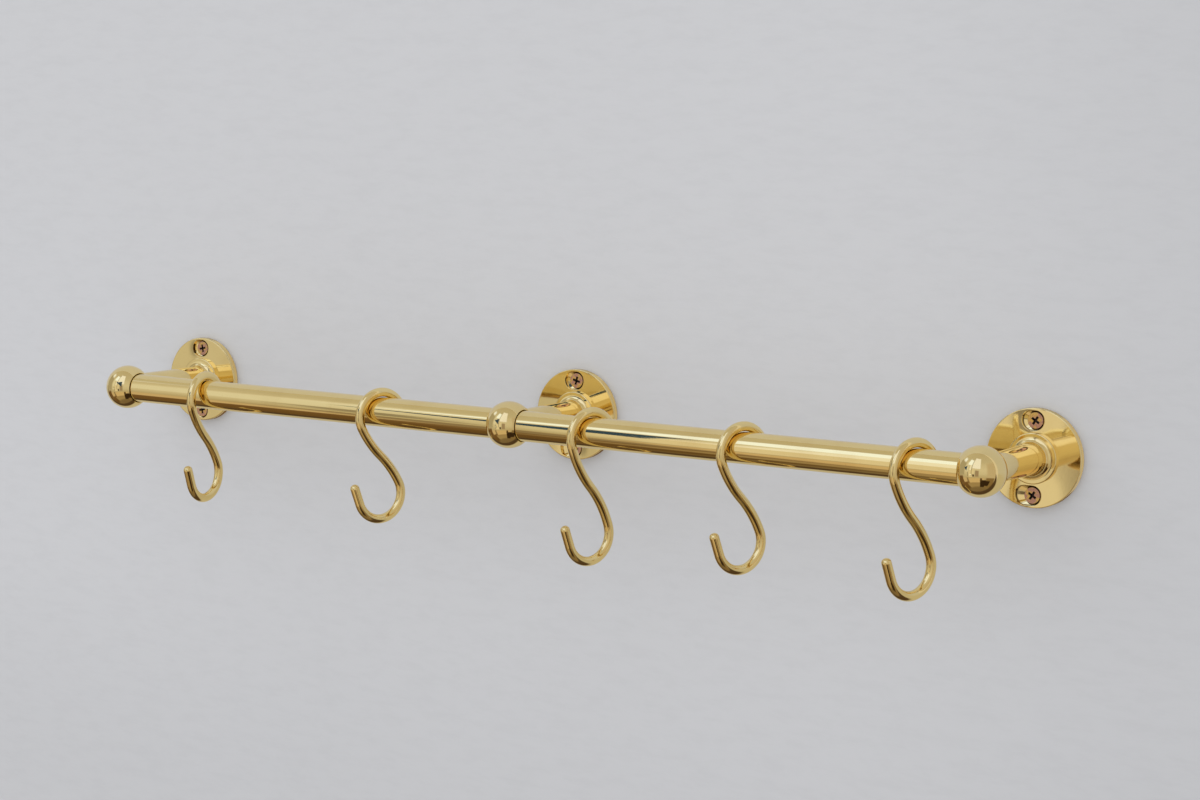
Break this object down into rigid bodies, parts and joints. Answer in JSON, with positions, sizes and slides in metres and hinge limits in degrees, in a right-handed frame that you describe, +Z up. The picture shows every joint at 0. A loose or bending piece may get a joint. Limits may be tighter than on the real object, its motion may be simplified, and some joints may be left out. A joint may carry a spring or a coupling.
{
  "type": "kitchen utensil rail",
  "caption": "Straight round brass rail on turned wall brackets with ball ends and round flanges, carrying sliding wire S-hooks for utensils.",
  "frame": {"origin": "middle of the centre flange's back, on the wall plane", "axes": "+X along the rail, +Y into the wall, +Z up; the front faces -Y"},
  "size_m": [0.47, 0.0957, 0.076],
  "materials": {
    "polished_brass": "polished, lightly tarnished and scratched",
    "brass_wire": "polished drawn wire",
    "bronzed_steel": "coppery brown coating, worn to brassy patches",
    "plated_steel": "plain zinc plating"
  },
  "bodies": {
    "rail": {"rail_tube": "polished_brass", "flange_left": "polished_brass", "flange_centre": "polished_brass", "flange_right": "polished_brass", "pillar_left": "polished_brass", "pillar_centre": "polished_brass", "pillar_right": "polished_brass", "wall_screws_left": "bronzed_steel", "wall_screws_centre": "bronzed_steel", "wall_screws_right": "bronzed_steel", "pillar_screw_left": "plated_steel", "pillar_screw_centre": "plated_steel", "pillar_screw_right": "plated_steel", "grub_screw_left": "plated_steel", "grub_screw_centre": "plated_steel", "grub_screw_right": "plated_steel"},
    "hook_1": {"s_hook_1": "brass_wire"},
    "hook_2": {"s_hook_2": "brass_wire"},
    "hook_3": {"s_hook_3": "brass_wire"},
    "hook_4": {"s_hook_4": "brass_wire"},
    "hook_5": {"s_hook_5": "brass_wire"}
  },
  "joints": [
    {"name": "hook_1_slide", "type": "slide", "parent": "rail", "child": "hook_1", "axis": [1, 0, 0], "range_m": [-0.028, 0.042]},
    {"name": "hook_2_slide", "type": "slide", "parent": "rail", "child": "hook_2", "axis": [1, 0, 0], "range_m": [-0.042, 0.048]},
    {"name": "hook_3_slide", "type": "slide", "parent": "rail", "child": "hook_3", "axis": [1, 0, 0], "range_m": [-0.022, 0.028]},
    {"name": "hook_4_slide", "type": "slide", "parent": "rail", "child": "hook_4", "axis": [1, 0, 0], "range_m": [-0.028, 0.03]},
    {"name": "hook_5_slide", "type": "slide", "parent": "rail", "child": "hook_5", "axis": [1, 0, 0], "range_m": [-0.03, 0.009]}
  ]
}
